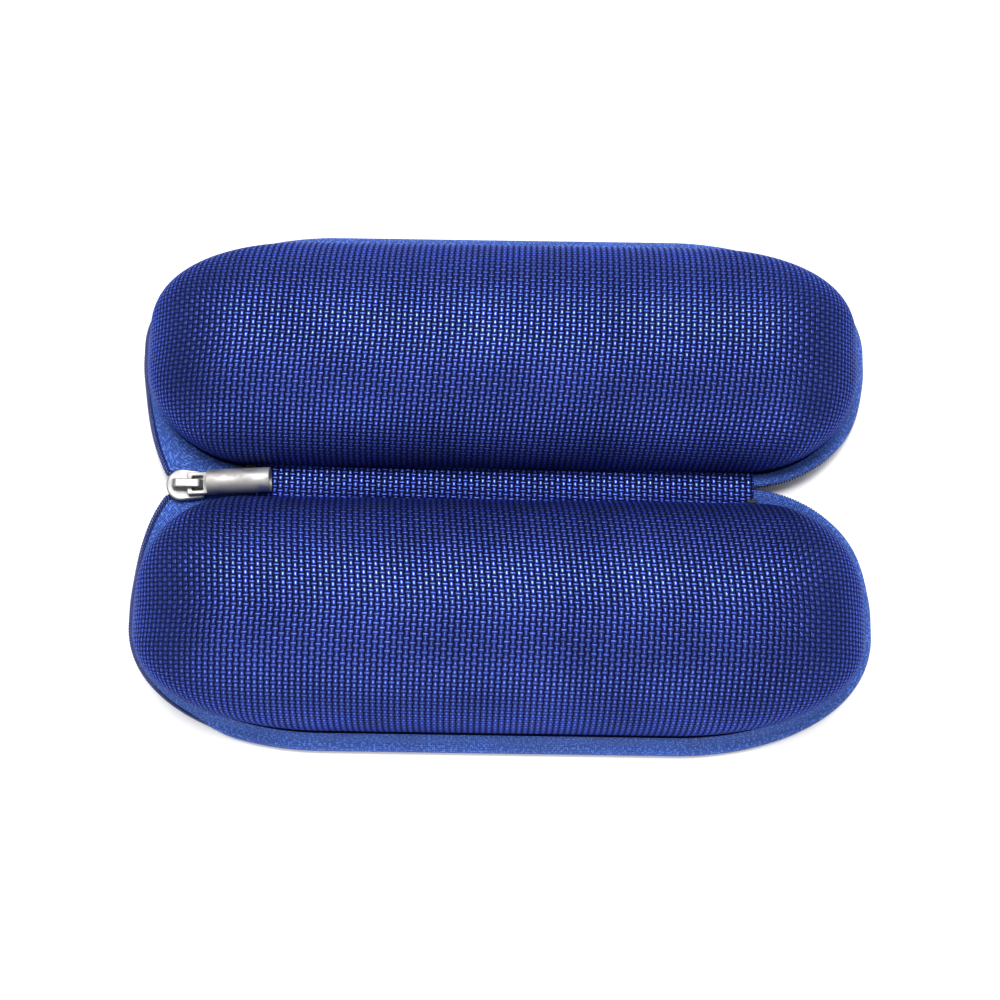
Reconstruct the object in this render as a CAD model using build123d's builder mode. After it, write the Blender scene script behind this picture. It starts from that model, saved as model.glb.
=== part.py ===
"""Zip-round eyeglasses case: two moulded shells opened out flat, domes up, joined by a fabric hinge.

Frame: X along the hinge, Y from the front shell to the rear shell, Z up. The case rests on z = 0 on the
coils of its open zip, and the origin lies under the middle of the hinge.
A shell is drawn beside its own fold line, with the hinge side on y = 0 and the dome towards +y.
"""

import os
from math import atan2, cos, radians, sin

from build123d import *

# ---- driving dimensions, millimetres -------------------------------------------------------------
seam_length = 154.4  # dome base, along the hinge
seam_width = 49.6  # dome base, across
inner_corner = 24.5  # radius of the two corners beside the hinge
outer_corner_x = 38.0  # the two far corners are quarter ellipses
outer_corner_y = 20.5
dome_height = 19.5
dome_power = 2.2  # 2 is an ellipse, more is squarer
corner_tightening = 0.25  # how much tighter the corners get towards the crown
crown_angle = 86  # degrees, where the rising sections stop
dome_sections = 9

fold_height = 3.4  # both fold axes
spine_half = 3.5  # half the distance between the two fold axes
hinge_length = 109.0
fold_gap = 0.1  # clearance of hinge pieces to their fold line

fabric = 0.6
foam_wall = 2.4
lining_cloth = 0.4
tape = 0.6
binding = 0.6
binding_height = 3.6
hinge_core = 1.0
hinge_cloth = 0.5

coil_radius = 0.8
coil_sides = 8  # the coil rests on one of its flats
coil_flattening = 0.06
coil_joined = 0.92  # coil centre to the zip's centre line where the zip is joined
coil_opening = 0.24  # sideways run of each coil per length inside the slider
coil_split = 0.55  # distance of both cut coil ends to the fold line
slider_zone = -59.0  # the front tape beside the slider stays with the hinge from here outwards
slider_zone_reach = 2.4  # and so far beyond the fold line
reach_side = 2.8  # seam to coil centre along the far side
reach_end = 1.8  # seam to coil centre at the two ends
reach_closed_end = 2.75  # seam to coil centre beside the closed end of the zip
tape_margin = 3.4  # tape sewn in under the rim
tape_crease = 0.03  # the tape is pressed down a little at the seam
end_run = 30.0  # closely spaced sections at both ends of the zip
end_sections = 14
middle_sections = 36

zip_shift = -1.2  # the slider end of the zip sags towards the front shell
zip_joined = 9.3  # joined stretch between hinge and slider

slider_length = 8.4
slider_nose = 3.4  # radius of the wide end
slider_tail = 5.8  # width of the narrow end
slider_wall = 0.9
slider_channel = 2.0
slider_slot = 1.2  # gap for the tape between the flanges
flange_length = 5.0
flange_width = 0.5
post_length = 1.3
post_width = 0.9
bail_length = 6.7
bail_width = 1.8
bail_thickness = 0.9
link_length = 4.6
link_width = 4.8
link_bar = 1.1
tube_length = 13.4
tube_radius = 2.65
tube_wall = 0.5
tube_rise = 1.1  # tube axis over the link's plane
pull_lift = -1.0  # degrees, the pull comes down onto the hinge
pull_yaw = 3.5  # degrees, it lies turned towards the rear shell
tongue_length = 2.0
tongue_width = 2.4

stitch_length = 2.6
stitch_gap = 0.9
thread_radius = 0.2

# ---- derived values ------------------------------------------------------------------------------
rim_height = fold_height + tape
wall = fabric + foam_wall + lining_cloth
half_length = seam_length / 2
half_width = seam_width / 2
hinge_half = hinge_length / 2
corner_start = half_length - inner_corner
tape_level = fold_height + tape / 2
flat_turn = 180 / coil_sides
rest_level = coil_radius * cos(radians(flat_turn)) - coil_flattening
slider_x = -hinge_half - zip_joined  # the slider's narrow end
nose_x = slider_x - slider_length + slider_nose
plate_top = tape_level + slider_channel / 2 + slider_wall
link_level = plate_top + 0.3 + link_bar / 2
bail_under = link_level + link_bar / 2 + 0.25
bail_x = slider_x - 3.6
link_x = slider_x - 3.1  # axis of the link's bar, under the bail
open_x = slider_x - 0.9  # the coils part here
binding_low = fold_height + 0.05
binding_inset = wall + 0.35
thread_level = binding_low + binding_height / 2
thread_inset = binding_inset + binding + thread_radius + 0.05

shells = {"rear": 1, "front": -1}
os.makedirs("parts", exist_ok=True)


def finish(part, name):
    """Label a piece and write its STEP file."""
    part.label = name
    export_step(part, f"parts/{name}.step")


def ease(value):
    """Smooth step from 0 to 1."""
    held = min(max(value, 0.0), 1.0)
    return held * held * (3 - 2 * held)


def beside_hinge(part, side):
    """Move a locally drawn shell piece to the rear of the hinge, or mirror it to the front."""
    moved = part.moved(Pos(0, spine_half, 0))
    return moved if side > 0 else mirror(moved, about=Plane.XZ, mode=Mode.PRIVATE)


# ---- seam outline and dome -----------------------------------------------------------------------
def outline(inset, corners=1.0):
    """Closed outline of a shell, moved in by inset, with its corners scaled."""
    end = half_length - inset
    far = seam_width - inset
    radius = inner_corner * corners
    long_radius = outer_corner_x * corners
    short_radius = outer_corner_y * corners
    with BuildSketch() as face:
        with BuildLine():
            Line((radius - end, inset), (end - radius, inset))
            CenterArc((end - radius, inset + radius), radius, -90, 90)
            Line((end, inset + radius), (end, far - short_radius))
            EllipticalCenterArc((end - long_radius, far - short_radius), long_radius, short_radius, 0, arc_size=90)
            Line((end - long_radius, far), (long_radius - end, far))
            EllipticalCenterArc((long_radius - end, far - short_radius), long_radius, short_radius, 90, arc_size=90)
            Line((-end, far - short_radius), (-end, inset + radius))
            CenterArc((radius - end, inset + radius), radius, 180, 90)
        make_face()
    return face.sketch


def dome(skin):
    """Solid dome whose surface lies skin below the outside of the case."""
    reach = half_width - skin
    height = dome_height - skin
    with BuildPart() as body:
        for section in range(dome_sections):
            rise = radians(crown_angle * section / (dome_sections - 1))
            narrow = cos(rise) ** (2 / dome_power)
            level = rim_height + height * sin(rise) ** (2 / dome_power)
            corners = reach * narrow / half_width * (1 - corner_tightening * sin(rise))
            with BuildSketch(Plane.XY.offset(level)):
                add(outline(skin + reach * (1 - narrow), corners))
        loft()
    return body.part


def ring(outer_inset, inner_inset, low, high):
    """Upright ring that follows the seam outline."""
    with BuildPart() as body:
        with BuildSketch(Plane.XY.offset(low)):
            add(outline(outer_inset, 1 - outer_inset / half_width))
            add(outline(inner_inset, 1 - inner_inset / half_width), mode=Mode.SUBTRACT)
        extrude(amount=high - low)
    return body.part


surfaces = [dome(0), dome(fabric), dome(fabric + foam_wall), dome(wall)]
layer_names = ["outer_fabric", "foam_shell", "lining"]

for shell, side in shells.items():
    for layer, layer_name in enumerate(layer_names):
        with BuildPart() as shell_layer:
            add(beside_hinge(surfaces[layer], side))
            add(beside_hinge(surfaces[layer + 1], side), mode=Mode.SUBTRACT)
        finish(shell_layer.part, f"{shell}_{layer_name}")

# ---- edge binding and the thread through it, inside the rim --------------------------------------
binding_ring = ring(binding_inset, binding_inset + binding, binding_low, binding_low + binding_height)

with BuildLine() as thread_line:
    add(outline(thread_inset, 1 - thread_inset / half_width).edges())
thread_path = thread_line.wires()[0]
stitch_count = round(thread_path.length / (stitch_length + stitch_gap))

with BuildPart() as stitches:
    with Locations(Pos(0, 0, thread_level)):
        with Locations([thread_path.location_at(index / stitch_count) for index in range(stitch_count)]):
            Cylinder(thread_radius, stitch_length)

for shell, side in shells.items():
    with BuildPart() as edge_binding:
        add(beside_hinge(binding_ring, side))
    finish(edge_binding.part, f"{shell}_edge_binding")
    with BuildPart() as rim_stitching:
        add(beside_hinge(stitches.part, side))
    finish(rim_stitching.part, f"{shell}_rim_stitching")

# ---- zip tape and coil ---------------------------------------------------------------------------
with BuildLine() as rim_line:
    left_corner = CenterArc((-corner_start, inner_corner), inner_corner, -90, -90)
    left_end = Line(left_corner @ 1, (-half_length, seam_width - outer_corner_y))
    left_shoulder = EllipticalCenterArc(
        (outer_corner_x - half_length, seam_width - outer_corner_y),
        outer_corner_x, outer_corner_y, 180, arc_size=-90,
    )
    far_side = Line(left_shoulder @ 1, (half_length - outer_corner_x, seam_width))
    right_shoulder = EllipticalCenterArc(
        (half_length - outer_corner_x, seam_width - outer_corner_y),
        outer_corner_x, outer_corner_y, 90, arc_size=-90,
    )
    right_end = Line(right_shoulder @ 1, (half_length, inner_corner))
    right_corner = CenterArc((corner_start, inner_corner), inner_corner, 0, -90)
rim_path = rim_line.wires()[0]
rim_length = rim_path.length
first_station = hinge_half - corner_start
last_station = rim_length - first_station


def corner_run(angle):
    """Length along an inner corner, from its start beside the hinge."""
    return inner_corner * radians(angle)


def coil_on_zip_line(x, side):
    """Coil centre where both coils meet or run through the slider, in the shell's own frame."""
    sag = side * zip_shift * ease((-hinge_half - x) / zip_joined)
    spread = coil_joined + coil_opening * max(0.0, open_x - x)
    return Vector(x, sag - spine_half + spread)


def zip_station(along, side):
    """Rim point and coil point of the tape, and the outward direction, at a length along the rim."""
    rim = rim_path.position_at(along, position_mode=PositionMode.LENGTH)
    run = rim_path.tangent_at(along, position_mode=PositionMode.LENGTH)
    outward = Vector(-run.Y, run.X)
    reach = reach_end + (reach_side - reach_end) * outward.Y**2
    if along < rim_length / 2:
        nose = coil_on_zip_line(slider_x - slider_length, side)
        arm = nose - Vector(-corner_start, inner_corner)
        nose_station = inner_corner * atan2(-arm.X, -arm.Y)
        beyond = min(max((along - nose_station) / corner_run(43), 0.0), 1.0)
        reach = reach + (arm.length - inner_corner - reach) * (1 - beyond) ** 2
        drop = ease((along - corner_run(42)) / corner_run(43))
    else:
        nose_station = 0.0
        to_closed_end = rim_length - along
        free = ease((to_closed_end - corner_run(45)) / corner_run(35))
        reach = reach_closed_end + (reach - reach_closed_end) * free
        drop = ease((to_closed_end - corner_run(30)) / corner_run(50))
    coil = rim + outward * reach
    if along < nose_station:
        progress = (along - first_station) / (nose_station - first_station)
        coil = coil_on_zip_line(-hinge_half - (zip_joined + slider_length) * progress, side)
    level = tape_level - (tape_level - rest_level) * drop
    return rim + Vector(0, 0, tape_level), coil + Vector(0, 0, level)


def zip_marks():
    """Lengths along the rim where the tape and coil have a section."""
    middle_run = last_station - first_station - 2 * end_run
    marks = [first_station + end_run * index / end_sections for index in range(end_sections)]
    marks += [first_station + end_run + middle_run * index / middle_sections for index in range(middle_sections)]
    marks += [last_station - end_run * index / end_sections for index in range(end_sections, -1, -1)]
    return marks


def zip_planes(side):
    """Upright section planes along the tape, with the coil's place in each."""
    planes = []
    for along in zip_marks():
        rim, coil = zip_station(along, side)
        across = Vector(coil.X - rim.X, coil.Y - rim.Y)
        plane = Plane(origin=rim, x_dir=across, z_dir=across.cross(Vector(0, 0, 1)))
        planes.append((plane, Vector(across.length, coil.Z - rim.Z)))
    return planes


def sewn_tape(side):
    """Tape from its margin under the rim, over the seam and down to the coil."""
    with BuildPart() as strip:
        for plane, coil in zip_planes(side):
            slope = coil.normalized()
            edge = coil - slope * (coil_radius + 0.03)
            upright = Vector(-slope.Y, slope.X) * (tape / 2)
            with BuildSketch(plane):
                with BuildLine():
                    Polyline(
                        (-tape_margin, tape / 2), (0, tape / 2 - tape_crease), edge + upright,
                        edge - upright, (0, -tape / 2 - tape_crease), (-tape_margin, -tape / 2), close=True,
                    )
                make_face()
        loft()
    return strip.part


def coil_bead(side):
    """Coil along the outer edge of the tape."""
    with BuildPart() as bead:
        for plane, coil in zip_planes(side):
            with BuildSketch(plane):
                with Locations(coil):
                    RegularPolygon(coil_radius, coil_sides, rotation=flat_turn)
        loft()
        split(bisect_by=Plane.XY, keep=Keep.TOP)
    return bead.part


def hinge_zone(side, gap):
    """Space of the hinge pieces up to gap over the fold line, and beside the slider on up to the rim."""
    with BuildPart() as zone:
        if side < 0:
            with Locations((slider_zone + gap - half_length, slider_zone_reach + gap - half_width)):
                Box(seam_length, seam_width, 4 * dome_height)
            with BuildSketch():
                add(outline(gap, 1 - gap / inner_corner))
            extrude(amount=dome_height, mode=Mode.SUBTRACT)
        with Locations((0, gap - half_width)):
            Box(2 * seam_length, seam_width, 4 * dome_height)
    return zone.part


for shell, side in shells.items():
    whole_tape = sewn_tape(side)
    whole_coil = coil_bead(side)
    with BuildPart() as zip_tape:
        add(whole_tape)
        add(hinge_zone(side, fold_gap), mode=Mode.SUBTRACT)
    finish(beside_hinge(zip_tape.part, side), f"{shell}_zip_tape")
    with BuildPart() as zip_coil:
        add(whole_coil)
        add(hinge_zone(side, coil_split), mode=Mode.SUBTRACT)
    finish(beside_hinge(zip_coil.part, side), f"{shell}_zip_coil")
    with BuildPart() as tape_ends:
        add(whole_tape)
        add(hinge_zone(side, -fold_gap), mode=Mode.INTERSECT)
    with BuildPart() as coil_ends:
        add(whole_coil)
        add(hinge_zone(side, -coil_split), mode=Mode.INTERSECT)
    for place, end in {"left": 0, "right": -1}.items():
        tape_end = tape_ends.solids().sort_by(Axis.X)[end]
        coil_end = coil_ends.solids().sort_by(Axis.X)[end]
        finish(beside_hinge(tape_end, side), f"{place}_{shell}_tape_end")
        finish(beside_hinge(coil_end, side), f"{place}_{shell}_coil_end")

# ---- hinge ---------------------------------------------------------------------------------------
hinge_layers = {
    "hinge_outer_fabric": (rim_height, hinge_cloth),
    "hinge_foam": (rim_height - hinge_core, hinge_core),
    "hinge_lining": (rim_height - hinge_core - lining_cloth, lining_cloth),
}
for layer_name, (low, thickness) in hinge_layers.items():
    with BuildPart() as hinge_layer:
        with BuildSketch(Plane.XY.offset(low)):
            Rectangle(hinge_length, 2 * (spine_half - fold_gap))
        extrude(amount=thickness)
    finish(hinge_layer.part, layer_name)

for name, end in {"left_bar_tack": -1, "right_bar_tack": 1}.items():
    with BuildPart() as bar_tack:
        with BuildSketch(Plane.XY.offset(rim_height + 0.1)):
            with Locations((end * (hinge_half + 1.2), -end * (spine_half - 0.7))):
                RectangleRounded(2.0, 0.9, 0.4)
        extrude(amount=hinge_cloth)
        fillet(bar_tack.faces().sort_by(Axis.Z)[-1].edges(), 0.2)
    finish(bar_tack.part, name)

# ---- slider --------------------------------------------------------------------------------------
with BuildPart() as slider_body:
    for low in (tape_level - slider_channel / 2 - slider_wall, tape_level + slider_channel / 2):
        with BuildSketch(Plane.XY.offset(low)) as plate:
            with Locations((nose_x, zip_shift)):
                Circle(slider_nose)
            with Locations((slider_x - flange_length / 2, zip_shift)):
                RectangleRounded(flange_length, slider_tail, 0.6)
            make_hull()
        extrude(amount=slider_wall)
    fillet(slider_body.faces().sort_by(Axis.Z)[-1].edges(), 0.35)
    fillet(slider_body.faces().sort_by(Axis.Z)[0].edges(), 0.35)
    flange_height = (slider_channel - slider_slot) / 2
    flange_levels = [tape_level + place * (slider_slot + flange_height) / 2 for place in (-1, 1)]
    flange_offset = (slider_tail - flange_width) / 2
    for level in flange_levels:
        with Locations(
            (slider_x - flange_length / 2 - 0.3, zip_shift - flange_offset, level),
            (slider_x - flange_length / 2 - 0.3, zip_shift + flange_offset, level),
        ):
            Box(flange_length - 0.6, flange_width, flange_height)
    with BuildSketch(Plane.XY.offset(tape_level - slider_channel / 2)):
        with Locations((slider_x - slider_length + 1.4, zip_shift)):
            SlotOverall(post_length, post_width)
    extrude(amount=slider_channel)
finish(slider_body.part, "slider_body")

with BuildPart() as slider_bail:
    bail_height = bail_under + bail_thickness - plate_top
    with BuildSketch(Plane.XZ.offset(-zip_shift)) as bail_profile:
        with Locations((bail_x, plate_top + bail_height / 2)):
            Rectangle(bail_length, bail_height)
        fillet(bail_profile.vertices().group_by(Axis.Y)[-1], 1.3)
        with Locations((bail_x, (plate_top + bail_under) / 2)):
            Rectangle(bail_length - 2 * bail_thickness, bail_under - plate_top, mode=Mode.SUBTRACT)
    extrude(amount=bail_width / 2, both=True)
    fillet(slider_bail.faces().filter_by(Axis.Y).edges().filter_by(Axis.Z, reverse=True).group_by(Axis.Z)[-1], 0.25)
finish(slider_bail.part, "slider_bail")

# ---- pull ----------------------------------------------------------------------------------------
lift = radians(pull_lift)
yaw = radians(pull_yaw)
pull_run = Vector(cos(lift) * cos(yaw), cos(lift) * sin(yaw), sin(lift))
pull_side = Vector(-sin(yaw), cos(yaw), 0)
pull_up = pull_run.cross(pull_side)
pull_plane = Plane(origin=(link_x, zip_shift, link_level), x_dir=pull_run, z_dir=pull_up)
tube_start = link_length - link_bar / 2
tube_plane = Plane(
    origin=pull_plane.origin + pull_run * tube_start + pull_up * tube_rise, x_dir=pull_side, z_dir=pull_run
)

with BuildPart() as pull_link:
    with BuildSketch(pull_plane):
        with Locations((tube_start - link_length / 2, 0)):
            RectangleRounded(link_length, link_width, 0.5)
            RectangleRounded(link_length - 2 * link_bar, link_width - 1.7, 0.3, mode=Mode.SUBTRACT)
    extrude(amount=link_bar / 2, both=True)
    fillet(pull_link.faces().sort_by(Axis.Z)[-1].edges(), 0.25)
    with BuildSketch(pull_plane):
        with Locations((tube_start + tongue_length / 2 - link_bar / 2, 0)):
            Rectangle(tongue_length + link_bar, tongue_width)
    extrude(amount=link_bar / 2, both=True)
finish(pull_link.part, "pull_link")

with BuildPart() as pull_tube:
    with BuildSketch(tube_plane):
        Circle(tube_radius)
        Circle(tube_radius - tube_wall, mode=Mode.SUBTRACT)
    extrude(amount=tube_length)
    fillet(pull_tube.edges(), 0.15)
finish(pull_tube.part, "pull_tube")
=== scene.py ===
"""Looks of the zip-round eyeglasses case: woven shells, hinge fabric, zip tapes, coils, slider and pull."""

from math import atan2, ceil, cos, pi, radians, sin

import bpy
import numpy as np
from mathutils import Matrix, Vector


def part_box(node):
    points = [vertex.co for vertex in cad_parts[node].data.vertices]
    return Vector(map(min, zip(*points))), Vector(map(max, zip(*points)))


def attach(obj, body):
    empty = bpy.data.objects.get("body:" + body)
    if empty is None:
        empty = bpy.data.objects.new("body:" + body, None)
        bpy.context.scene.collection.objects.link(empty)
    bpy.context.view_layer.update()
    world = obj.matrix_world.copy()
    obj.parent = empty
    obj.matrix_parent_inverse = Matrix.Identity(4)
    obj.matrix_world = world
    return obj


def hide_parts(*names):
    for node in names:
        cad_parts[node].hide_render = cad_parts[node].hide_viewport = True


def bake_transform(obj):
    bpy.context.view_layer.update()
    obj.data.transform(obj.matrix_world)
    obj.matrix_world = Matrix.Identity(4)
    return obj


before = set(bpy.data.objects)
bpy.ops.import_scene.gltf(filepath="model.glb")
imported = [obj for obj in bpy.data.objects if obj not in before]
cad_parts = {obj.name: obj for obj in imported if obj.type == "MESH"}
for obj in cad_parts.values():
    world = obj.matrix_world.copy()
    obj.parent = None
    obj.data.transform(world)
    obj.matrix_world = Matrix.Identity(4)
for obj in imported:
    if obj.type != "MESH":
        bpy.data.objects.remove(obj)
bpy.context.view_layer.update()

# ---- dimensions of the case, millimetres; a shell is drawn with its hinge side on y = 0 ------------
MM = 0.001
REAR, FRONT = 1, -1
sides = {"rear": REAR, "front": FRONT}

seam_length = 154.4
seam_width = 49.6
half_length = seam_length / 2
half_width = seam_width / 2
inner_corner = 24.5
outer_corner = (40.5, 22.5)
tape_corner = (40.0, 21.8)
dome_height = 19.5
dome_power = 2.2
corner_tightening = 0.45
spine_half = 3.5
fold_height = 3.4
tape_level = 3.7
rim_height = 4.0
hinge_half = 54.5
fabric = 0.6
foam_wall = 2.4
wall = 3.4
hem_drop = 0.45  # the woven outside reaches this far below the rim
groove_outset = 0.15  # the seam cord lies this far outside the dome's foot
foam_cells = (300, 120)

lining_gap = 0.1
binding_gap = 0.35
binding_thickness = 0.6
binding_edge = [(0.12, 3.55), (0.3, 3.6), (0.48, 3.55)]  # distance inward and height of its rounded top
binding_foot = [(0.48, 0.05), (0.3, 0.0), (0.12, 0.05)]
binding_heights = [0.25, 1.2, 2.4, 3.35]
binding_yarns = (900, 14)
stitch_count = 96
stitch_length = 2.7
stitch_radius = 0.2
stitch_stand = 0.12  # a stitch's middle stands this far off the binding's face
stitch_height = 1.85  # above the inner edge
cord_radius = 0.34

coil_radius = 0.8
coil_pitch = 0.62
coil_half_width = 0.55
coil_half_height = 0.45
wire_radius = 0.25
core_radius = 0.34
rest_level = coil_radius * cos(pi / 8)
coil_joined = 0.92
coil_opening = 0.24
reach_side = {REAR: 2.5, FRONT: 3.3}
reach_end = 1.8
reach_closed_end = 2.75
zip_shift = -1.2
zip_joined = 9.3
slider_length = 8.4
slider_x = -hinge_half - zip_joined
open_x = slider_x - 0.9
tape_thickness = 0.42
cover_start = 62  # length along the rim from which the tape wraps over its coil
cover_span = 12
coil_clearance = 0.1
sewn_depth = 0.3  # the stitches draw the tape in by this much beside the rim
bulge = 0.12  # swelling of the tape between the rim and the coil

column_pitch = 1.25  # upright yarns of the shell fabric
row_pitch = 0.93  # yarns along the case
tape_row_pitch = 0.42
fabric_turn = radians(1.3)
hinge_yarn_shift = 2.1
knit_scale = 2.4  # the lining's yarns are finer by this much
yarn_leans = {REAR: (0.07, 0.0018, -0.03), FRONT: (0.07, 0.0014, 0.05)}


# ---- meshes --------------------------------------------------------------------------------------
def grid_faces(rows, columns, ring=False):
    """Quads of a rows x columns grid of points; ring joins the last column to the first."""
    index = np.arange(rows * columns).reshape(rows, columns)
    if ring:
        index = np.concatenate([index, index[:, :1]], axis=1)
    corners = (index[:-1, :-1], index[:-1, 1:], index[1:, 1:], index[1:, :-1])
    return np.stack(corners, axis=-1).reshape(-1, 4)


def mesh_piece(name, points, faces, material, coords=None, flip=False):
    """Smooth mesh object from points in millimetres, with optional UV coordinates for each point."""
    points = np.asarray(points, float).reshape(-1, 3)
    polygons = [list(face) for face in faces]
    if flip:
        polygons = [face[::-1] for face in polygons]
    mesh = bpy.data.meshes.new(name)
    mesh.from_pydata((points * MM).tolist(), [], polygons)
    mesh.polygons.foreach_set("use_smooth", [True] * len(mesh.polygons))
    if coords is not None:
        layer = mesh.uv_layers.new(name="weave")
        loops = np.zeros(len(mesh.loops), int)
        mesh.loops.foreach_get("vertex_index", loops)
        layer.data.foreach_set("uv", np.asarray(coords, float).reshape(-1, 2)[loops].ravel())
    mesh.update()
    piece = bpy.data.objects.new(name, mesh)
    bpy.context.scene.collection.objects.link(piece)
    mesh.materials.append(material)
    return piece


def placed(points, side):
    """Points of a shell's own frame in the frame of the case."""
    points = np.array(points, float)
    points[..., 1] = side * (points[..., 1] + spine_half)
    return points


def smoothstep(value):
    """Soft step from 0 to 1 while the value runs from 0 to 1."""
    held = np.clip(value, 0.0, 1.0)
    return held * held * (3 - 2 * held)


# ---- shell outline and dome ----------------------------------------------------------------------
def arc(centre, radii, start, sweep, count):
    """Points on an ellipse arc, without the last one; angles in degrees."""
    angle = np.radians(start + sweep * np.arange(count) / count)
    x = centre[0] + radii[0] * np.cos(angle)
    y = centre[1] + radii[1] * np.sin(angle)
    return np.stack([x, y], axis=-1)


def run(start, end, count):
    """Points on a straight line, without the last one."""
    share = np.arange(count)[:, None] / count
    return np.array(start) * (1 - share) + np.array(end) * share


def outline(inset, corners, fineness=1.0):
    """Closed outline of a shell moved in by inset, from the middle of the hinge side, anticlockwise."""
    end = half_length - inset
    far = seam_width - inset
    radius = inner_corner * corners
    wide = outer_corner[0] * corners
    deep = outer_corner[1] * corners
    counts = (ceil(number * fineness) for number in (100, 80, 14, 90, 180))
    hinge_run, near_arc, end_run, far_arc, far_run = counts
    return np.concatenate([
        run((0, inset), (end - radius, inset), hinge_run),
        arc((end - radius, inset + radius), (radius, radius), -90, 90, near_arc),
        run((end, inset + radius), (end, far - deep), end_run),
        arc((end - wide, far - deep), (wide, deep), 0, 90, far_arc),
        run((end - wide, far), (wide - end, far), far_run),
        arc((wide - end, far - deep), (wide, deep), 90, 90, far_arc),
        run((-end, far - deep), (-end, inset + radius), end_run),
        arc((radius - end, inset + radius), (radius, radius), 180, 90, near_arc),
        run((radius - end, inset), (0, inset), hinge_run),
    ])


def inner_band(inset, rise, fineness):
    """Closed line inside the wall, inset from the seam and a rise above the inner edge."""
    flat = outline(inset, 1 - inset / half_width, fineness)
    return np.column_stack([flat, np.full(len(flat), fold_height + rise)])


def section(rise, skin):
    """Inset, corner scale and height over the rim of the dome's section at a rise in radians."""
    reach = half_width - skin
    narrow = np.cos(rise) ** (2 / dome_power)
    level = (dome_height - skin) * np.sin(rise) ** (2 / dome_power)
    corners = reach * narrow / half_width * (1 - corner_tightening * np.sin(rise))
    return skin + reach * (1 - narrow), corners, level


def dome_rings(skin, rings, fineness=1.0):
    """Rings of points from the rim to the ridge of a dome whose surface lies skin below the outside."""
    found = []
    last_rise = 0.9999 * pi / 2  # just short of the ridge, so that the last ring keeps its corners
    for rise in np.linspace(0, last_rise, rings):
        inset, corners, level = section(rise, skin)
        flat = outline(inset, corners, fineness)
        found.append(np.column_stack([flat, np.full(len(flat), rim_height + level)]))
    return np.array(found)


def height_map(spacing=0.25, halvings=18):
    """Height of the dome over a plan grid, found by halving the range of possible rises."""
    tiny = 1e-6
    xs = np.arange(-half_length - 2, half_length + 2, spacing)
    ys = np.arange(-2, seam_width + 2, spacing)
    x, y = np.meshgrid(np.abs(xs), ys, indexing="ij")
    low = np.zeros_like(x)
    high = np.full_like(x, pi / 2)
    for _ in range(halvings):
        middle = (low + high) / 2
        inset, corners = section(middle, 0.0)[:2]
        end = half_length - inset
        far = seam_width - inset
        radius = inner_corner * corners + tiny
        wide = outer_corner[0] * corners + tiny
        deep = outer_corner[1] * corners + tiny
        inside = (x <= end) & (y >= inset) & (y <= far)
        near_corner = (y < inset + radius) & (x > end - radius)
        far_corner = (y > far - deep) & (x > end - wide)
        in_near = ((x - end + radius) / radius) ** 2 + ((inset + radius - y) / radius) ** 2 <= 1
        in_far = ((x - end + wide) / wide) ** 2 + ((y - far + deep) / deep) ** 2 <= 1
        inside &= np.where(near_corner, in_near, True) & np.where(far_corner, in_far, True)
        low = np.where(inside, middle, low)
        high = np.where(inside, high, middle)
    return xs, ys, section(low, 0.0)[2]


def cloth_maps(steepest=9.0):
    """Lengths along the cloth in both yarn directions over the plan grid, measured from the crown."""
    xs, ys, height = height_map()
    slope_x, slope_y = np.gradient(height, xs, ys)
    stretch_x = np.sqrt(1 + np.clip(np.abs(slope_x), 0, steepest) ** 2)
    stretch_y = np.sqrt(1 + np.clip(np.abs(slope_y), 0, steepest) ** 2)
    along = np.cumsum(stretch_x, axis=0) * (xs[1] - xs[0])
    across = np.cumsum(stretch_y, axis=1) * (ys[1] - ys[0])
    along -= along[len(xs) // 2]
    across -= across[:, [len(ys) // 2]]
    return xs, ys, along, across


def sample(xs, ys, values, points):
    """Values of a plan grid at points, by linear interpolation."""
    px = np.clip((points[..., 0] - xs[0]) / (xs[1] - xs[0]), 0, len(xs) - 1.001)
    py = np.clip((points[..., 1] - ys[0]) / (ys[1] - ys[0]), 0, len(ys) - 1.001)
    ix, iy = px.astype(int), py.astype(int)
    fx, fy = px - ix, py - iy
    near = values[ix, iy] * (1 - fx) + values[ix + 1, iy] * fx
    far = values[ix, iy + 1] * (1 - fx) + values[ix + 1, iy + 1] * fx
    return near * (1 - fy) + far * fy


maps = cloth_maps()


def yarn_lean(y, side):
    """Sideways shift of the upright yarns at a distance from the hinge side."""
    near = np.clip(half_width - y, 0, half_width)
    far = np.clip(y - half_width, 0, half_width)
    slope, curve, far_slope = yarn_leans[side]
    return near * slope + near**2 * curve + far * far_slope


def yarn_coords(points, side):
    """Yarn counts across and along the fabric at points of a shell's own frame."""
    xs, ys, along, across = maps
    u = sample(xs, ys, along, points) + yarn_lean(points[..., 1], side)
    v = side * sample(xs, ys, across, points)
    turned = v + u * fabric_turn
    return np.stack([u / column_pitch, turned / row_pitch], axis=-1)


# ---- materials -----------------------------------------------------------------------------------
def calc(tree, operation, *inputs, clamp=False):
    """Output of a math node; inputs are numbers or sockets."""
    node = tree.nodes.new("ShaderNodeMath")
    node.operation = operation
    node.use_clamp = clamp
    for socket, value in zip(node.inputs, inputs):
        if isinstance(value, (int, float)):
            socket.default_value = value
        else:
            tree.links.new(value, socket)
    return node.outputs[0]


def mixed(tree, share, first, second):
    """Colour between two colours, which are tuples or sockets."""
    node = tree.nodes.new("ShaderNodeMix")
    node.data_type = "RGBA"
    for name, value in (("Factor_Float", share), ("A_Color", first), ("B_Color", second)):
        socket = next(s for s in node.inputs if s.identifier == name)
        if isinstance(value, tuple):
            socket.default_value = (*value, 1)
        elif isinstance(value, (int, float)):
            socket.default_value = value
        else:
            tree.links.new(value, socket)
    return next(s for s in node.outputs if s.identifier == "Result_Color")


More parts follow.
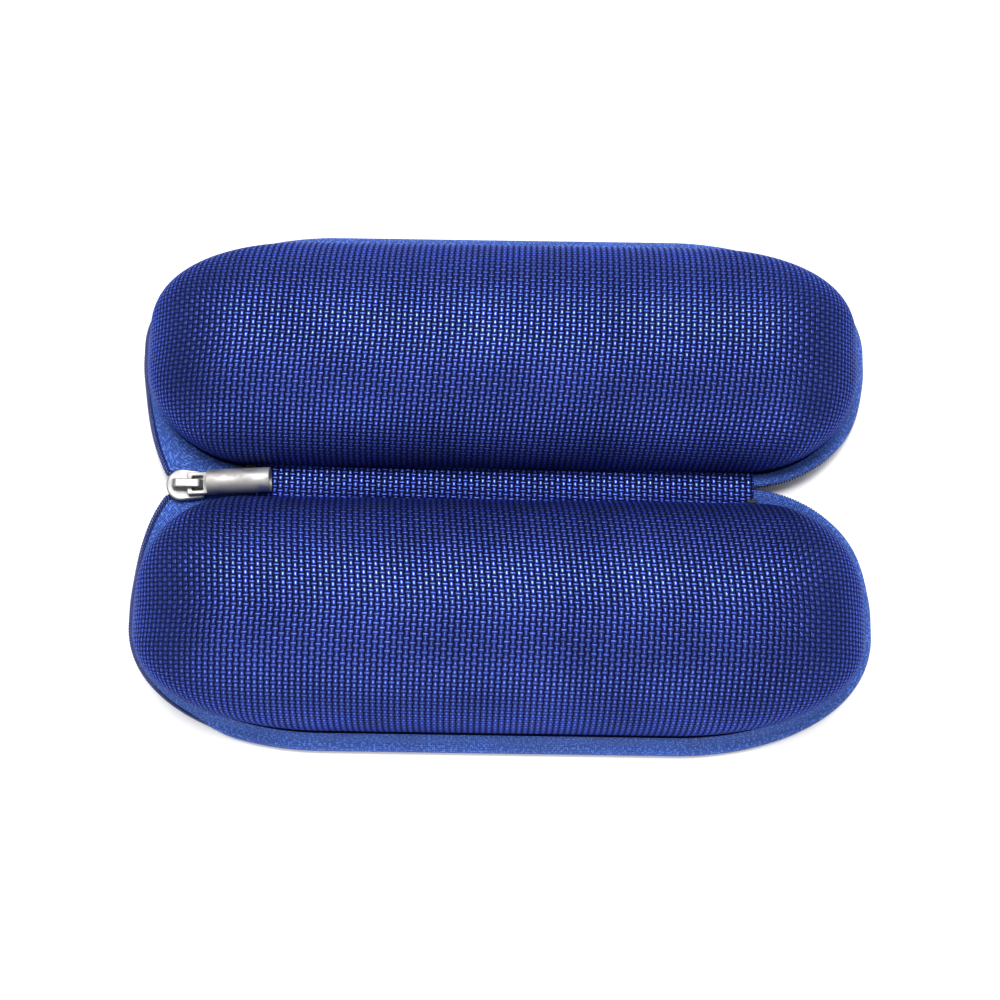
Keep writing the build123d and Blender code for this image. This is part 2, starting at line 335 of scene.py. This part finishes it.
def noise(tree, vector, scale, detail=2.0):
    """Factor of a noise texture over a vector socket."""
    node = tree.nodes.new("ShaderNodeTexNoise")
    node.inputs["Scale"].default_value = scale
    node.inputs["Detail"].default_value = detail
    tree.links.new(vector, node.inputs["Vector"])
    return node.outputs["Fac"]


def stretched(tree, vector, scale):
    """Vector socket scaled by three numbers."""
    node = tree.nodes.new("ShaderNodeVectorMath")
    node.operation = "MULTIPLY"
    tree.links.new(vector, node.inputs[0])
    node.inputs[1].default_value = scale
    return node.outputs[0]


def ranged(tree, value, low, high, to_low=0.0, to_high=1.0):
    """Value mapped from low..high to to_low..to_high, held inside."""
    node = tree.nodes.new("ShaderNodeMapRange")
    tree.links.new(value, node.inputs["Value"])
    for name, number in (("From Min", low), ("From Max", high), ("To Min", to_low), ("To Max", to_high)):
        node.inputs[name].default_value = number
    return node.outputs["Result"]


def new_material(name, **settings):
    """Material with a Principled shader and its fixed values; returns material, tree and shader."""
    material = bpy.data.materials.new(name)
    material.use_nodes = True
    tree = material.node_tree
    shader = tree.nodes["Principled BSDF"]
    for key, value in settings.items():
        shader.inputs[key.replace("_", " ")].default_value = value
    return material, tree, shader


def bumped(tree, shader, height, depth):
    """Feed a height in millimetres, depth at height 1, to the shader's normal."""
    node = tree.nodes.new("ShaderNodeBump")
    node.inputs["Distance"].default_value = depth * MM
    node.inputs["Strength"].default_value = 1.0
    tree.links.new(height, node.inputs["Height"])
    tree.links.new(node.outputs[0], shader.inputs["Normal"])


def surface_place(tree):
    """Position on the piece in its own frame, as a vector socket."""
    return tree.nodes.new("ShaderNodeTexCoord").outputs["Object"]


def patchy(tree, colour, scale, low, high):
    """Colour whose brightness drifts between low and high over the piece."""
    patches = noise(tree, surface_place(tree), scale, 3.0)
    faded = tree.nodes.new("ShaderNodeHueSaturation")
    tree.links.new(colour, faded.inputs["Color"])
    tree.links.new(ranged(tree, patches, 0.3, 0.7, low, high), faded.inputs["Value"])
    return faded.outputs[0]


def yarn_axes(tree):
    """The two yarn counts of the weave map, and the map as a vector."""
    uv = tree.nodes.new("ShaderNodeUVMap")
    uv.uv_map = "weave"
    parts = tree.nodes.new("ShaderNodeSeparateXYZ")
    tree.links.new(uv.outputs[0], parts.inputs[0])
    return parts.outputs[0], parts.outputs[1], uv.outputs[0]


def yarn(tree, across, along, width, dip, flatness=0.25):
    """Height of a round yarn: across and along run from -0.5 to 0.5 over a crossing."""
    side = calc(tree, "DIVIDE", across, width)
    rest = calc(tree, "MAXIMUM", calc(tree, "SUBTRACT", 1.0, calc(tree, "MULTIPLY", side, side)), 0.0)
    hump = calc(tree, "MAXIMUM", calc(tree, "COSINE", calc(tree, "MULTIPLY", along, pi)), 0.0)
    arch = calc(tree, "POWER", hump, flatness)
    lift = calc(tree, "MULTIPLY_ADD", arch, 1 - dip, dip)
    return calc(tree, "MULTIPLY", calc(tree, "SQRT", rest), lift)


def plain_weave(tree, u, v, dip=0.4, share=0.5):
    """Height of a plain weave, and 1 where the level yarn is on top; share is for the upright floats."""
    upright_half = 0.47
    level_half = 0.5
    column = calc(tree, "FLOOR", u)
    across = calc(tree, "SUBTRACT", calc(tree, "FRACT", u), 0.5)
    repeat = calc(tree, "FRACT", calc(tree, "MULTIPLY", calc(tree, "ADD", v, column), 0.5))
    turn = calc(tree, "GREATER_THAN", repeat, share)
    upright_run = calc(tree, "SUBTRACT", calc(tree, "DIVIDE", repeat, share), 0.5)
    past_upright = calc(tree, "SUBTRACT", repeat, share)
    level_side = calc(tree, "SUBTRACT", calc(tree, "DIVIDE", past_upright, 1 - share), 0.5)
    over = yarn(tree, across, upright_run, upright_half, dip)
    under = yarn(tree, level_side, across, level_half, dip)
    kept = calc(tree, "MULTIPLY", over, calc(tree, "SUBTRACT", 1.0, turn))
    return calc(tree, "MULTIPLY_ADD", under, turn, kept), turn


def shell_cloth(name, gap_shade, body, ridge, depth=0.38):
    """Ballistic weave of shiny filament yarns, with painted shade between the yarns and painted highlights on
    their ridges.
    """
    material, tree, shader = new_material(name, Metallic=0.75, Roughness=0.3, Specular_IOR_Level=0.5)
    shader.inputs["Specular Tint"].default_value = (0.25, 0.4, 1.0, 1)
    u, v, weave = yarn_axes(tree)
    height, turn = plain_weave(tree, u, v, dip=0.6, share=0.6)
    upright_threads = noise(tree, stretched(tree, weave, (9.0, 1.2, 1.0)), 1.0)
    level_threads = noise(tree, stretched(tree, weave, (1.2, 9.0, 1.0)), 1.0)
    split = tree.nodes.new("ShaderNodeMix")
    tree.links.new(turn, split.inputs[0])
    tree.links.new(upright_threads, split.inputs[2])
    tree.links.new(level_threads, split.inputs[3])
    threads = split.outputs[0]
    # painted shade: the colour darkens from the yarns' tops into the gaps between them
    cloth = mixed(tree, ranged(tree, height, 0.35, 0.9), gap_shade, body)
    # painted highlight: a yarn's ridge is painted lighter where its height is close to 1, and less on the
    # level yarns
    upright_highlight = ranged(tree, height, 0.96, 0.99)
    level_highlight = ranged(tree, height, 0.93, 0.985, 0.0, 0.36)
    painted_highlight = calc(tree, "MULTIPLY_ADD", calc(tree, "SUBTRACT", level_highlight, upright_highlight), turn, upright_highlight)
    colour = patchy(tree, mixed(tree, painted_highlight, cloth, ridge), 60.0, 0.8, 1.2)
    tree.links.new(colour, shader.inputs["Base Color"])
    smooth = ranged(tree, threads, 0.3, 0.7, 0.27, 0.42)
    dull = ranged(tree, height, 0.45, 0.8, 0.6, 0.0)
    tree.links.new(calc(tree, "ADD", smooth, dull), shader.inputs["Roughness"])
    relief = calc(tree, "MULTIPLY_ADD", threads, 0.06, height)
    bumped(tree, shader, relief, depth)
    return material


def fine_cloth(name, gap_shade, body, light, depth=0.1, roughness=0.6, sheen=0.3):
    """Finer matt weave for tape, lining and binding."""
    material, tree, shader = new_material(name, Roughness=roughness)
    shader.inputs["Sheen Weight"].default_value = sheen
    shader.inputs["Sheen Roughness"].default_value = 0.5
    shader.inputs["Sheen Tint"].default_value = (*light, 1)
    u, v, weave = yarn_axes(tree)
    height = plain_weave(tree, u, v)[0]
    flecks = noise(tree, weave, 0.8, 2.0)
    # painted shade: the colour darkens from the yarns' tops into the gaps between them
    colour = mixed(tree, ranged(tree, height, 0.15, 0.85), gap_shade, body)
    flecked = mixed(tree, ranged(tree, flecks, 0.5, 0.6, 0.0, 0.7), colour, light)
    tree.links.new(patchy(tree, flecked, 90.0, 0.88, 1.12), shader.inputs["Base Color"])
    bumped(tree, shader, height, depth)
    return material


def thread_look(name, dark, light, roughness=0.45, shine=0.6):
    """Twisted sewing thread or nylon filament: fine stripes along its length."""
    material, tree, shader = new_material(name, Roughness=roughness, Specular_IOR_Level=shine)
    weave = yarn_axes(tree)[2]
    stripes = noise(tree, stretched(tree, weave, (1.0, 5.0, 1.0)), 2.0, 3.0)
    tree.links.new(mixed(tree, ranged(tree, stripes, 0.3, 0.7), dark, light), shader.inputs["Base Color"])
    bumped(tree, shader, stripes, 0.05)
    return material


def nickel_look(name, base, roughness, brushed):
    """Plated metal with fine scratches and duller rubbed spots."""
    material, tree, shader = new_material(name, Metallic=1.0, Roughness=roughness)
    place = surface_place(tree)
    scratches = noise(tree, stretched(tree, place, brushed), 900.0, 4.0)
    rubbed = noise(tree, place, 260.0, 4.0)
    darker = tuple(0.82 * value for value in base)
    worn = mixed(tree, ranged(tree, rubbed, 0.35, 0.75), base, darker)
    tree.links.new(worn, shader.inputs["Base Color"])
    spots = ranged(tree, rubbed, 0.3, 0.7, roughness * 0.7, roughness * 1.3)
    rough = calc(tree, "ADD", spots, ranged(tree, scratches, 0.5, 0.8, 0.0, 0.12))
    tree.links.new(rough, shader.inputs["Roughness"])
    bumped(tree, shader, scratches, 0.006)
    return material


# each cloth's first colour is painted shade between its yarns, and the woven shell's last colour is a painted
# highlight on its yarn ridges
shell_look = shell_cloth("woven_shell", (0.0015, 0.0025, 0.025), (0.025, 0.038, 0.188), (0.11, 0.2, 0.9))
tape_look = fine_cloth("zip_tape", (0.008, 0.028, 0.19), (0.024, 0.085, 0.42), (0.12, 0.27, 0.85),
                       depth=0.2, sheen=0.0)
lining_look = fine_cloth("lining", (0.008, 0.01, 0.03), (0.022, 0.028, 0.075), (0.05, 0.06, 0.14), sheen=0.5)
binding_look = fine_cloth("binding", (0.005, 0.008, 0.04), (0.016, 0.026, 0.12), (0.03, 0.05, 0.2))
foam_look = fine_cloth("foam", (0.02, 0.02, 0.025), (0.035, 0.035, 0.042), (0.05, 0.05, 0.06), roughness=0.8)
coil_look = thread_look("zip_coil", (0.005, 0.008, 0.06), (0.025, 0.045, 0.24), 0.22)
thread_blue = thread_look("thread", (0.012, 0.02, 0.12), (0.04, 0.07, 0.3))
# painted shade: this near-black matt thread colours the groove cord as the groove's shade
groove_shade_thread = thread_look("groove_shade_thread", (0.0008, 0.001, 0.007), (0.003, 0.004, 0.024), 0.95, 0.02)
thread_black = thread_look("black_thread", (0.003, 0.003, 0.006), (0.012, 0.012, 0.022))
nickel = nickel_look("nickel", (0.5, 0.485, 0.47), 0.6, (0.15, 1.0, 1.0))
slider_nickel = nickel_look("slider_nickel", (0.42, 0.415, 0.405), 0.46, (1.0, 0.2, 1.0))


# ---- shells --------------------------------------------------------------------------------------
def sheet_coords(rows, columns, size):
    """Even weave coordinates for a rows x columns grid, size yarns along each way."""
    across, along = np.meshgrid(np.linspace(0, size[0], columns), np.linspace(0, size[1], rows))
    return np.stack([across, along], axis=-1)


def woven_cloth(shell, side):
    """Woven outside of a shell, with a short hem below the rim."""
    outside = dome_rings(0.0, 110, 1.3)
    hem = outside[:1] - np.array([0, 0, hem_drop])
    outside = np.concatenate([hem, outside])
    cloth = mesh_piece(f"{shell}_woven_cloth", placed(outside, side), grid_faces(*outside.shape[:2], True),
                       shell_look, yarn_coords(outside, side), side < 0)
    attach(cloth, f"{shell}_shell")
    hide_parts(f"{shell}_outer_fabric")


def moulded_foam(shell, side):
    """Stiff foam wall between the woven outside and the lining."""
    outer = dome_rings(fabric, 40, 0.4)
    inner = dome_rings(fabric + foam_wall, 40, 0.4)[::-1]
    loop = np.concatenate([outer, inner, outer[:1]])
    foam = mesh_piece(f"{shell}_moulded_foam", placed(loop, side), grid_faces(*loop.shape[:2], True),
                      foam_look, sheet_coords(*loop.shape[:2], foam_cells), side < 0)
    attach(foam, f"{shell}_shell")
    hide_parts(f"{shell}_foam_shell")


def knit_lining(shell, side):
    """Lining of the foam wall."""
    inside = dome_rings(wall - lining_gap, 60, 0.6)
    lining = mesh_piece(f"{shell}_knit_lining", placed(inside, side), grid_faces(*inside.shape[:2], True),
                        lining_look, yarn_coords(inside, side) * knit_scale, side > 0)
    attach(lining, f"{shell}_shell")
    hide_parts(f"{shell}_lining")


def ribbed_binding(shell, side):
    """Binding round the raw inner edge, with rounded edges; its section is a closed profile."""
    near = [(0.0, height) for height in binding_heights]
    away = [(binding_thickness, height) for height in binding_heights[::-1]]
    profile = near + binding_edge + away + binding_foot + near[:1]
    bands = np.array([inner_band(wall + binding_gap + inward, 0.05 + rise, 0.8) for inward, rise in profile])
    binding = mesh_piece(f"{shell}_ribbed_binding", placed(bands, side), grid_faces(*bands.shape[:2], True),
                         binding_look, sheet_coords(*bands.shape[:2], binding_yarns), side > 0)
    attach(binding, f"{shell}_shell")
    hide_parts(f"{shell}_edge_binding")


def groove_shade_cord(shell, side):
    """Cord in the groove between dome and tape, coloured near-black as painted shade of the groove."""
    seam = outline(-groove_outset, 1.0)
    seam = np.column_stack([seam, np.full(len(seam), rim_height + 0.05)])
    cord = ring_tube(f"{shell}_groove_shade_cord", placed(seam, side), cord_radius, groove_shade_thread)
    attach(cord, f"{shell}_shell")


def rim_stitches(shell, side):
    """Stitches that hold the binding, on its inner face."""
    path = inner_band(wall + binding_gap + binding_thickness + stitch_stand, stitch_height, 1.0)
    stitches = stitch_row(f"{shell}_stitches", path, side, thread_blue)
    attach(stitches, f"{shell}_shell")
    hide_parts(f"{shell}_rim_stitching")


def tube_points(centres, radii, around=8, frames=None):
    """Rings of points round a line of centres."""
    tangent = np.gradient(centres, axis=0)
    tangent /= np.linalg.norm(tangent, axis=1, keepdims=True)
    first = np.cross(tangent, [0, 0, 1.0]) if frames is None else frames
    first /= np.linalg.norm(first, axis=1, keepdims=True)
    second = np.cross(first, tangent)
    angle = np.linspace(0, 2 * pi, around, endpoint=False)
    ring = first[:, None] * np.cos(angle)[None, :, None] + second[:, None] * np.sin(angle)[None, :, None]
    return centres[:, None] + ring * np.asarray(radii)[:, None, None]


def ring_tube(name, line, radius, material, around=8):
    """Closed tube along a closed line of points."""
    ends = np.concatenate([line[-2:], line, line[:2]])
    tube = tube_points(ends, np.full(len(ends), radius), around)[2:-2]
    tube = np.concatenate([tube, tube[:1]])
    coords = sheet_coords(len(tube), around, (3, 0.5 * len(tube)))
    return mesh_piece(name, tube, grid_faces(len(tube), around, True), material, coords)


def joined_tubes(name, tubes, material):
    """One mesh of many tubes with closed ends, their points in millimetres."""
    points, faces, coords = [], [], []
    total = 0
    for tube in tubes:
        rings, around = tube.shape[:2]
        points.append(tube.reshape(-1, 3))
        faces += (grid_faces(rings, around, True) + total).tolist()
        faces.append(list(range(total + around - 1, total - 1, -1)))
        faces.append(list(range(total + (rings - 1) * around, total + rings * around)))
        coords.append(sheet_coords(rings, around, (3, 0.3 * rings)).reshape(-1, 2))
        total += rings * around
    return mesh_piece(name, np.concatenate(points), faces, material, np.concatenate(coords))


def lengths_along(line):
    """Length along a polyline at each of its points."""
    steps = np.linalg.norm(np.diff(line, axis=0), axis=1)
    return np.concatenate([[0], np.cumsum(steps)])


def along_line(line, share):
    """Points at shares of the length of a polyline."""
    lengths = lengths_along(line)
    wanted = np.asarray(share) * lengths[-1]
    return np.stack([np.interp(wanted, lengths, line[:, axis]) for axis in range(line.shape[1])], axis=-1)


def stitch_row(name, line, side, material):
    """Row of sewn stitches along a closed line; each swells in its middle and dips at its ends."""
    tubes = []
    total = lengths_along(line)[-1]
    local = np.linspace(-0.5, 0.5, 9)
    swell = np.sqrt(np.clip(1 - (2 * local) ** 2 * 0.8, 0, 1))
    for number in range(stitch_count):
        share = (number / stitch_count + local * stitch_length / total) % 1.0
        centres = along_line(line, share)
        tubes.append(tube_points(placed(centres, side), stitch_radius * swell, 6))
    return joined_tubes(name, tubes, material)


for shell, side in sides.items():
    woven_cloth(shell, side)
    moulded_foam(shell, side)
    knit_lining(shell, side)
    ribbed_binding(shell, side)
    groove_shade_cord(shell, side)
    rim_stitches(shell, side)


# ---- zip: tape and coil --------------------------------------------------------------------------
def rim_line(fineness=12):
    """Dense line along the rim from the left hinge end round the far side to the right hinge end."""
    corner_x = half_length - inner_corner
    shoulder_x = half_length - tape_corner[0]
    shoulder_y = seam_width - tape_corner[1]
    radii = (inner_corner, inner_corner)
    return np.concatenate([
        arc((-corner_x, inner_corner), radii, -90, -90, 40 * fineness),
        run((-half_length, inner_corner), (-half_length, shoulder_y), fineness),
        arc((-shoulder_x, shoulder_y), tape_corner, 180, -90, 45 * fineness),
        run((-shoulder_x, seam_width), (shoulder_x, seam_width), 40 * fineness),
        arc((shoulder_x, shoulder_y), tape_corner, 90, -90, 45 * fineness),
        run((half_length, shoulder_y), (half_length, inner_corner), fineness),
        arc((corner_x, inner_corner), radii, 0, -90, 40 * fineness),
        [(corner_x, 0.0)],
    ])


rim = rim_line()
rim_length = lengths_along(rim)[-1]
corner_start = half_length - inner_corner


def ease(value):
    """Smoothstep of a single number, as a plain float."""
    return float(smoothstep(value))


def corner_run(angle):
    """Length along the rim of an angle in degrees round a near corner."""
    return inner_corner * radians(angle)


def turned(length, start, span):
    """Soft step from 0 to 1 over a span of degrees that begins start degrees round a near corner."""
    return ease((length - corner_run(start)) / corner_run(span))


def coil_on_zip_line(x, side):
    """Coil centre where both coils meet or run through the slider, in the shell's own frame."""
    sag = side * zip_shift * ease((-hinge_half - x) / zip_joined)
    spread = coil_joined + coil_opening * max(0.0, open_x - x)
    return np.array([x, sag - spine_half + spread])


# angles in degrees round a near corner, as start and span, over which the zip changes its course
open_spread = 43  # span only; it starts at the slider's nose
open_drop = (42, 43)
closed_spread = (45, 35)
closed_drop = (30, 50)


def zip_station(along, side):
    """Rim point and coil centre at a length along the rim, in the shell's own frame."""
    step = 0.05
    around = along_line(rim, [along / rim_length, (along + step) / rim_length, (along - step) / rim_length])
    tangent = around[1] - around[2]
    tangent /= np.linalg.norm(tangent)
    outward = np.array([-tangent[1], tangent[0]])
    reach = reach_end + (reach_side[side] - reach_end) * outward[1] ** 2
    nose_station = 0.0
    if along < rim_length / 2:
        arm = coil_on_zip_line(slider_x - slider_length, side) - np.array([-corner_start, inner_corner])
        nose_station = inner_corner * atan2(-arm[0], -arm[1])
        beyond = min(max((along - nose_station) / corner_run(open_spread), 0.0), 1.0)
        reach += (np.linalg.norm(arm) - inner_corner - reach) * (1 - beyond) ** 2
        drop = turned(along, *open_drop)
    else:
        left = rim_length - along
        reach = reach_closed_end + (reach - reach_closed_end) * turned(left, *closed_spread)
        drop = turned(left, *closed_drop)
    coil = around[0] + outward * reach
    if along < nose_station:
        progress = (along - first_station) / (nose_station - first_station)
        coil = coil_on_zip_line(-hinge_half - (zip_joined + slider_length) * progress, side)
    level = tape_level - (tape_level - rest_level) * drop
    return np.array([*around[0], tape_level]), np.array([*coil, level])


first_station = hinge_half - corner_start
last_station = rim_length - first_station
station_count = 420


def zip_lines(side):
    """Rim and coil lines of a shell's zip, evenly along the rim, in the frame of the case."""
    marks = np.linspace(first_station, last_station, station_count)
    pairs = [zip_station(along, side) for along in marks]
    return placed([p[0] for p in pairs], side), placed([p[1] for p in pairs], side), marks


def bend_at_fold(piece):
    """Bake the piece's transform into its mesh."""
    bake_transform(piece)


def zip_directions(rim_points, coil_points):
    """Level way outward, way along the tape's slope and way off its upper face, at each station."""
    reach = coil_points - rim_points
    level = reach * np.array([1, 1, 0])
    outward = level / np.linalg.norm(level, axis=1, keepdims=True)
    slope = reach / np.linalg.norm(reach, axis=1, keepdims=True)
    upright = np.cross(np.cross(outward, [0, 0, 1.0]), slope)
    upright *= np.sign(upright[:, 2:])
    return outward, slope, upright


def woven_tape(shell, side, rim_points, coil_points, marks):
    """Tape sewn under the rim, which wraps over its coil beyond the open end."""
    reach = coil_points - rim_points
    outward, slope, upright = zip_directions(rim_points, coil_points)
    covered = smoothstep((marks - cover_start) / cover_span)[:, None]
    half = tape_thickness / 2
    edge = coil_radius * (covered * 0.5 - (1 - covered) * 0.75)
    raised = covered * (coil_radius + coil_clearance)
    rows = [rim_points + outward * offset + np.array([0, 0, half - 0.02]) for offset in (-3.0, -1.5, 0.0)]
    rows.append(rim_points + outward * 0.25 - np.array([0, 0, sewn_depth - half]))
    for share in (0.2, 0.4, 0.6, 0.8):
        rows.append(rim_points + reach * share + upright * (half + bulge * sin(pi * share))
                    - slope * (coil_radius + coil_clearance) * share)
    rows.append(coil_points - slope * (coil_radius - coil_clearance) + upright * (half + raised * 0.75))
    rows.append(coil_points + slope * np.minimum(edge, 0) * 0.9 + upright * (half + raised))
    rows.append(coil_points + slope * edge + upright * (half + raised * 0.85))
    upper = np.array(rows)
    lower = upper[::-1] - upright * tape_thickness
    strip = np.concatenate([upper, lower, upper[:1]]).transpose(1, 0, 2)
    counts = np.array([-12, -6, 0, 1, 3, 5.5, 8, 10.5, 13, 15, 17])  # yarns from the rim to each row
    across = np.concatenate([counts, counts[::-1] + 2, counts[:1] + 4])
    coords = np.stack(np.broadcast_arrays(across[None], marks[:, None] / tape_row_pitch), axis=-1)
    tape = mesh_piece(f"{shell}_woven_tape", strip, grid_faces(*strip.shape[:2]), tape_look, coords, side < 0)
    bend_at_fold(tape)
    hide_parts(f"{shell}_zip_tape", f"left_{shell}_tape_end", f"right_{shell}_tape_end")


def spun_coil(shell, rim_points, coil_points):
    """Coil of spun filament round a core, along the tape's outer edge."""
    slope, upright = zip_directions(rim_points, coil_points)[1:]
    turns = int(lengths_along(coil_points)[-1] / coil_pitch)
    share = np.linspace(0, 1, turns * 14)
    sideways = along_line(slope, share)
    normal = along_line(upright, share)
    angle = 2 * pi * turns * share
    helix = (along_line(coil_points, share) + sideways * coil_half_width * np.cos(angle)[:, None]
             + normal * (coil_half_height * np.sin(angle)[:, None]))
    wire = tube_points(helix, np.full(len(helix), wire_radius))
    core = tube_points(coil_points, np.full(len(coil_points), core_radius))
    coil = joined_tubes(f"{shell}_spun_coil", [wire, core], coil_look)
    bend_at_fold(coil)
    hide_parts(f"{shell}_zip_coil", f"left_{shell}_coil_end", f"right_{shell}_coil_end")


for shell, side in sides.items():
    rim_points, coil_points, marks = zip_lines(side)
    woven_tape(shell, side, rim_points, coil_points, marks)
    spun_coil(shell, rim_points, coil_points)


# ---- hinge ---------------------------------------------------------------------------------------
def hinge_sheet(shell, side, layer, low, high, crest, reach, material, scale, node, slot):
    """One half of a hinge layer, from its middle to beyond the fold; closed, with a crest in the middle."""
    y = np.linspace(0, reach, 14)
    arch = crest * (1 - (y / reach) ** 2)
    upper = np.column_stack([y, high + arch])
    lower = np.column_stack([y, low + arch])[::-1]
    profile = np.concatenate([upper, lower, upper[:1]])
    x = np.linspace(-hinge_half, hinge_half, 220)
    grid = np.zeros((len(x), len(profile), 3))
    grid[..., 0] = x[:, None]
    grid[..., 1] = side * profile[:, 0]
    grid[..., 2] = profile[:, 1]
    u = grid[..., 0] + hinge_yarn_shift
    v = grid[..., 1] + fabric_turn * grid[..., 0]
    coords = np.stack([u / column_pitch, v / row_pitch], axis=-1) * scale
    faces = grid_faces(*grid.shape[:2])
    piece = mesh_piece(f"{shell}_hinge_{layer}", grid, faces, material, coords, side > 0)
    bend_at_fold(piece)
    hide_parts(node)


hinge_layers = (
    # name, underside, top, crest, reach, look, yarn scale, node, slot
    ("cloth", 4.02, 4.35, 0.55, spine_half + 0.75, shell_look, 1.0, "hinge_outer_fabric", "woven_shell"),
    ("foam", 3.1, 3.95, 0.3, spine_half + 0.2, foam_look, 1.0, "hinge_foam", "foam"),
    ("knit", 2.62, 2.95, 0.05, spine_half + 3.6, lining_look, knit_scale, "hinge_lining", "lining"),
)
for shell, side in sides.items():
    for layer in hinge_layers:
        hinge_sheet(shell, side, *layer)


def bar_tack(name, node, shift, threads=9, rings=9, radius=0.14):
    """Dense zigzag of thread over a tape end."""
    low, high = (np.array(corner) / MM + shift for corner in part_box(node))
    local = np.linspace(-1, 1, rings)
    y = (low[1] + high[1]) / 2 + local * (high[1] - low[1]) * 0.55
    z = low[2] + 0.15 + 0.28 * (1 - local**2)
    tubes = []
    for number in range(threads):
        x = low[0] + (high[0] - low[0]) * (number + 0.5) / threads + 0.05 * local
        centres = np.stack([x, y, z], axis=-1)
        tubes.append(tube_points(centres, np.full(rings, radius), 6, np.tile([1.0, 0, 0], (rings, 1))))
    tack = joined_tubes(name, tubes, thread_black)
    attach(tack, "hinge_strip")
    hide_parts(node)


bar_tack("left_tack", "left_bar_tack", (1.5, 0.5, 0.35))
bar_tack("right_tack", "right_bar_tack", (-1.5, -0.2, 0.35))

for node, look in (("slider_body", slider_nickel), ("slider_bail", slider_nickel),
                   ("pull_link", nickel), ("pull_tube", nickel)):
    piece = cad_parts[node]
    piece.data.materials.clear()
    piece.data.materials.append(look)

# ---- floor, light, camera ------------------------------------------------------------------------
floor_look, _, floor_shader = new_material("floor", Roughness=0.7)
floor_shader.inputs["Base Color"].default_value = (0.93, 0.93, 0.94, 1)
floor_half = 3000
floor_corners = [(-floor_half, -floor_half, 0), (floor_half, -floor_half, 0),
                 (floor_half, floor_half, 0), (-floor_half, floor_half, 0)]
floor = mesh_piece("floor", floor_corners, [(0, 1, 2, 3)], floor_look)

world = bpy.data.worlds.new("studio")
bpy.context.scene.world = world
world.use_nodes = True
world.node_tree.nodes["Background"].inputs["Color"].default_value = (1, 1, 1, 1)
world.node_tree.nodes["Background"].inputs["Strength"].default_value = 0.32


def softbox(name, place, size, power):
    """Rectangular lamp at a place in metres, turned to the case."""
    lamp = bpy.data.lights.new(name, "AREA")
    lamp.shape = "RECTANGLE"
    lamp.size, lamp.size_y = size
    lamp.energy = power
    holder = bpy.data.objects.new(name, lamp)
    holder.location = place
    holder.rotation_euler = (-Vector(place)).to_track_quat("-Z", "Y").to_euler()
    bpy.context.scene.collection.objects.link(holder)


softbox("top_light", (0.0, 0.32, 0.76), (0.5, 0.34), 9.2)
softbox("front_fill", (0.0, -0.6, 0.42), (0.8, 0.4), 3.3)

camera_distance = 0.3
camera_height = radians(80.4)
camera_roll = 0.015
target = Vector((-0.0002, -0.0033, 0.004))
back = Vector((0, -cos(camera_height), sin(camera_height)))
lens = bpy.data.cameras.new("camera")
lens.sensor_width = 36
lens.lens = 49.92
lens.clip_start = 0.01
camera = bpy.data.objects.new("camera", lens)
camera.matrix_world = (
    Matrix.Translation(target + back * camera_distance)
    @ (-back).to_track_quat("-Z", "Y").to_matrix().to_4x4()
    @ Matrix.Rotation(camera_roll, 4, "Z")
)
bpy.context.scene.collection.objects.link(camera)
bpy.context.scene.camera = camera
bpy.context.scene.view_settings.view_transform = "Standard"
